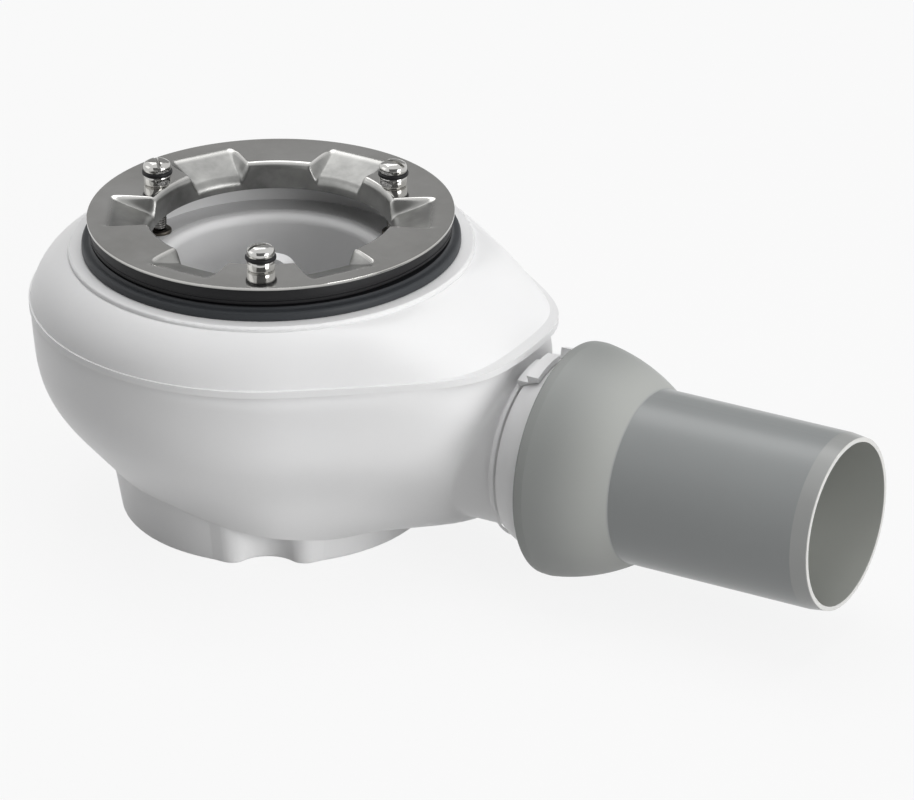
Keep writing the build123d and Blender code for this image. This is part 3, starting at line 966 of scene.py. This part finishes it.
@dataclass
class ClampScrews:
    """Three slotted screws: shank, collar, groove of the O-ring and barrel head.

    Sizes are in millimetres and angles in degrees.
    """

    circle: ScrewCircle = ScrewCircle()
    slot_angles: Triple = (-6.0, -46.0, 54.0)
    shank_r: float = 1.95
    low: float = 75.9
    base: float = 89.8
    collar_r: float = 4.0
    collar: float = 3.0
    groove_r: float = 3.2
    groove: float = 1.3
    head: float = 3.0
    slot_length: float = 12.0
    slot_width: float = 1.1
    slot_depth: float = 1.2
    sides: int = 72
    edge_bevel: float = 0.06
    edge_angle: float = 50.0
    smooth: float = 30.0

    def profile(self) -> Profile:
        """Section from the lower end of the shank to the top of the head.

        Returns:
            Radius and height of each ring, in metres.
        """
        r = self.collar_r
        seat = self.base
        neck = seat + self.collar
        chin = neck + self.groove
        crown = chin + self.head
        section = [
            (self.shank_r - 0.3, self.low),
            (self.shank_r, self.low + 0.3),
            (self.shank_r, seat),
            (r - 0.55, seat),
            (r - 0.16, seat + 0.3),
            (r - 0.03, seat + 0.6),
            (r, seat + 1.2),
            (r, neck - 0.3),
            (r - 0.08, neck - 0.1),
            (r - 0.25, neck),
            (self.groove_r, neck),
            (self.groove_r, chin),
            (r - 0.2, chin),
            (r - 0.04, chin + 0.12),
            (r, chin + 0.4),
            (r, chin + 0.9),
            (r - 0.06, chin + 1.4),
            (r - 0.22, chin + 1.85),
            (r - 0.42, chin + 2.1),
            (r - 0.6, chin + 2.22),
            (r - 1.3, chin + 2.62),
            (r - 1.7, chin + 2.8),
            (r - 2.2, chin + 2.93),
            (r - 3.0, crown),
        ]
        return [(x * MM, z * MM) for x, z in section]

    def screw(self, number: int) -> Piece:
        """Turns one screw, cuts its slot and stands it on its place.

        Args:
            number: which of the screws.

        Returns:
            The screw.
        """
        screw = turned("clamp_screws", self.profile(), self.sides, Ends.CAPPED)
        crown = (self.base + self.collar + self.groove + self.head) * MM
        cube = bpy.ops.mesh.primitive_cube_add
        cutter = added(cube, "slot_cutter", size=1.0, location=(0.0, 0.0, crown))
        slot = (self.slot_length * MM, self.slot_width * MM, 2.0 * self.slot_depth * MM)
        bpy.ops.transform.resize(value=slot)
        cutter.rotation_euler.z = radians(self.slot_angles[number])
        apply_modifier(screw, "BOOLEAN", operation="DIFFERENCE", object=cutter, solver="EXACT")
        bpy.data.objects.remove(cutter)
        soften_edges(screw, self.edge_bevel * MM, self.edge_angle)
        self.circle.stand(screw, number)
        return screw

    def build(self) -> Piece:
        """Makes the screws and joins them."""
        return joined([self.screw(number) for number in range(self.circle.count)])

    def dress(self, screws: Piece) -> None:
        """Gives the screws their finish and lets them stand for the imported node."""
        settle(screws, Body.TRAP, BRIGHT, self.smooth)
        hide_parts("flange_screws")


@dataclass
class ScrewThreads:
    """Rolled threads on the three screw shanks. Sizes are in millimetres."""

    circle: ScrewCircle = ScrewCircle()
    root_r: float = 1.97
    ridge: float = 0.24
    pitch: float = 0.7
    low: float = 75.9
    high: float = 88.6
    steps: int = 28
    smooth: float = 30.0

    def thread(self, number: int) -> Piece:
        """Sweeps a triangle round the z axis and stands the thread on its place.

        Args:
            number: which of the screws.

        Returns:
            The thread.
        """
        circle = bpy.ops.mesh.primitive_circle_add
        thread = added(circle, "screw_threads", vertices=3, radius=self.ridge * MM, location=ORIGIN)
        with editing(thread):
            for axis in ("Z", "X"):
                bpy.ops.transform.rotate(value=pi / 2, orient_axis=axis, center_override=ORIGIN)
            bpy.ops.transform.translate(value=(self.root_r * MM, 0.0, self.low * MM))
        apply_modifier(
            thread,
            "SCREW",
            axis="Z",
            angle=2 * pi,
            screw_offset=self.pitch * MM,
            iterations=int((self.high - self.low) / self.pitch),
            steps=self.steps,
            render_steps=self.steps,
            use_merge_vertices=False,
        )
        with editing(thread):
            select_open_edges()
            bpy.ops.mesh.fill()
            face_outward()
        self.circle.stand(thread, number)
        return thread

    def build(self) -> Piece:
        """Makes the threads and joins them."""
        return joined([self.thread(number) for number in range(self.circle.count)])

    def dress(self, threads: Piece) -> None:
        """Gives the threads their finish."""
        settle(threads, Body.TRAP, THREAD, self.smooth)


@dataclass
class Camera:
    """The photograph's viewpoint. Angles are in degrees, lengths in metres."""

    azimuth: float = 30.39
    elevation: float = 25.763
    roll: float = -0.742
    distance: float = 1.698113
    target: Triple = (0.060587, 0.0, 0.044298)
    focal_pixels: float = 6000.0
    clip_end: float = 20.0

    def build(self) -> None:
        """Adds the camera and makes it the scene's own."""
        a = radians(self.azimuth)
        e = radians(self.elevation)
        back = Vector((sin(a) * cos(e), -cos(a) * cos(e), sin(e)))
        right = Vector((cos(a), sin(a), 0.0))
        up = back.cross(right)
        turn = Matrix.Rotation(radians(self.roll), 3, back)
        right = turn @ right
        up = turn @ up
        data = bpy.data.cameras.new("photo_camera")
        data.sensor_width = SENSOR_WIDTH
        data.sensor_fit = "HORIZONTAL"
        data.lens = self.focal_pixels * SENSOR_WIDTH / IMAGE_WIDTH
        data.clip_end = self.clip_end
        camera = bpy.data.objects.new("photo_camera", data)
        place = Matrix((right, up, back)).transposed().to_4x4()
        place.translation = Vector(self.target) + self.distance * back
        camera.matrix_world = place
        bpy.context.scene.collection.objects.link(camera)
        bpy.context.scene.camera = camera


def placed(place: Triple, along: Vector) -> Matrix:
    """Matrix of an object at a place, with its z axis along a direction."""
    return Matrix.Translation(place) @ along.to_track_quat("Z", "Y").to_matrix().to_4x4()


@dataclass(frozen=True)
class Card:
    """A square card that only the reflections see: centre, side, brightness and aim."""

    name: str
    place: Triple
    size: float
    grey: float
    aim: Triple = (0.0, 0.0, 0.09)

    def build(self) -> None:
        """Adds the card."""
        card = added(bpy.ops.mesh.primitive_plane_add, self.name, size=self.size)
        card.matrix_world = placed(self.place, Vector(self.aim) - Vector(self.place))
        graph = Graph(self.name)
        glow = graph.node("ShaderNodeEmission", Color=(self.grey, self.grey, self.grey, 1.0))
        graph.surface(glow.outputs["Emission"])
        card.data.materials.append(graph.material)
        card.visible_camera = False
        card.visible_diffuse = False
        card.visible_transmission = False
        card.visible_shadow = False


@dataclass(frozen=True)
class Lamp:
    """A square lamp: centre, side, power, whether glossy surfaces show it, and aim."""

    name: str
    place: Triple
    size: float
    watts: float
    mirrored: bool
    aim: Triple = (0.06, 0.0, 0.04)

    def build(self) -> None:
        """Adds the lamp, which shines along its own negative z axis."""
        data = bpy.data.lights.new(self.name, "AREA")
        data.size = self.size
        data.energy = self.watts
        lamp = bpy.data.objects.new(self.name, data)
        lamp.matrix_world = placed(self.place, Vector(self.place) - Vector(self.aim))
        lamp.visible_glossy = self.mirrored
        bpy.context.scene.collection.objects.link(lamp)


@dataclass
class Studio:
    """Pale floor, soft lamps, a white surround and two cards for the steel to reflect."""

    floor_size: float = 8.0
    floor_drop: float = 0.0002
    floor_colour: Colour = (0.57, 0.57, 0.57)
    floor_roughness: float = 0.9
    floor_white: float = 0.88
    sky: float = 0.03
    cards: tuple[Card, ...] = (
        Card("rear_card", (-0.73, 1.24, 0.79), 1.5, 0.39),
        Card("front_card", (0.60, -0.93, 0.60), 1.6, 0.16),
    )
    lamps: tuple[Lamp, ...] = (
        Lamp("overhead", (0.0, 0.3, 1.8), 1.4, 18.0, False),
        Lamp("rear", (-0.7, 0.85, 1.4), 1.2, 8.5, True),
        Lamp("right", (1.45, -0.25, 0.95), 1.3, 9.5, False),
        Lamp("low_right", (1.65, -0.3, 0.3), 0.9, 15.0, True),
        Lamp("front_right", (1.35, -1.0, 0.4), 0.9, 2.6, True),
        Lamp("left", (-1.3, -0.7, 0.8), 1.2, 3.4, True),
    )

    def build(self) -> None:
        """Adds the floor, the cards, the world and the lamps."""
        scene = bpy.context.scene
        scene.view_settings.view_transform = "Standard"
        self.floor()
        for card in self.cards:
            card.build()
        self.world(scene)
        for lamp in self.lamps:
            lamp.build()

    def seen_directly(self, tree: bpy.types.NodeTree) -> Socket:
        """Light Path value that is 1 for camera, glossy and transmission rays.

        Args:
            tree: the node tree to add it to.

        Returns:
            The value socket.
        """
        path = tree.nodes.new("ShaderNodeLightPath")
        socket = path.outputs["Is Camera Ray"]
        for name in ("Is Glossy Ray", "Is Transmission Ray"):
            socket = calculated(tree, "MAXIMUM", socket, path.outputs[name])
        return socket

    def floor(self) -> None:
        """Adds the pale floor, which keeps the trap's shadow."""
        plane = bpy.ops.mesh.primitive_plane_add
        floor = added(plane, "floor", size=self.floor_size, location=(0.0, 0.0, -self.floor_drop))
        graph = Graph("pale_floor")
        base = (*self.floor_colour, 1.0)
        graph.set(graph.shader, Roughness=self.floor_roughness, Base_Color=base)
        glow = graph.node("ShaderNodeEmission")
        mix = graph.node("ShaderNodeMixShader")
        share = graph.span(self.seen_directly(graph.tree), 0.0, self.floor_white)
        graph.link(share, mix.inputs["Fac"])
        graph.link(graph.shader.outputs["BSDF"], mix.inputs[1])
        graph.link(glow.outputs["Emission"], mix.inputs[2])
        graph.surface(mix.outputs["Shader"])
        floor.data.materials.append(graph.material)

    def world(self, scene: bpy.types.Scene) -> None:
        """Makes the surround: white where it is seen, softer as a light.

        Args:
            scene: the scene that gets it.
        """
        world = bpy.data.worlds.new("studio")
        world.use_nodes = True
        tree = world.node_tree
        sky = tree.nodes["Background"]
        sky.inputs["Color"].default_value = (1.0, 1.0, 1.0, 1.0)
        level = tree.nodes.new("ShaderNodeMapRange")
        level.inputs["To Min"].default_value = self.sky
        tree.links.new(self.seen_directly(tree), level.inputs["Value"])
        tree.links.new(level.outputs["Result"], sky.inputs["Strength"])
        scene.world = world


def main() -> None:
    """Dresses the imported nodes, adds the detailed pieces and sets up the scene."""
    logging.basicConfig(level=logging.INFO)
    put_on(WHITE, "upper_shell", "lower_shell", "dip_tube", "outlet_lock_ring")
    put_on(GREY, "outlet_pipe")
    put_on(INSERT, "thread_inserts")
    put_on(BLACK, "screw_seals", "dip_tube_seal", "ball_seal")
    for part in (ClampRing(), RimGasket(), ClampScrews(), ScrewThreads()):
        part.dress(part.build())
    Camera().build()
    Studio().build()


if __name__ == "__main__":
    main()
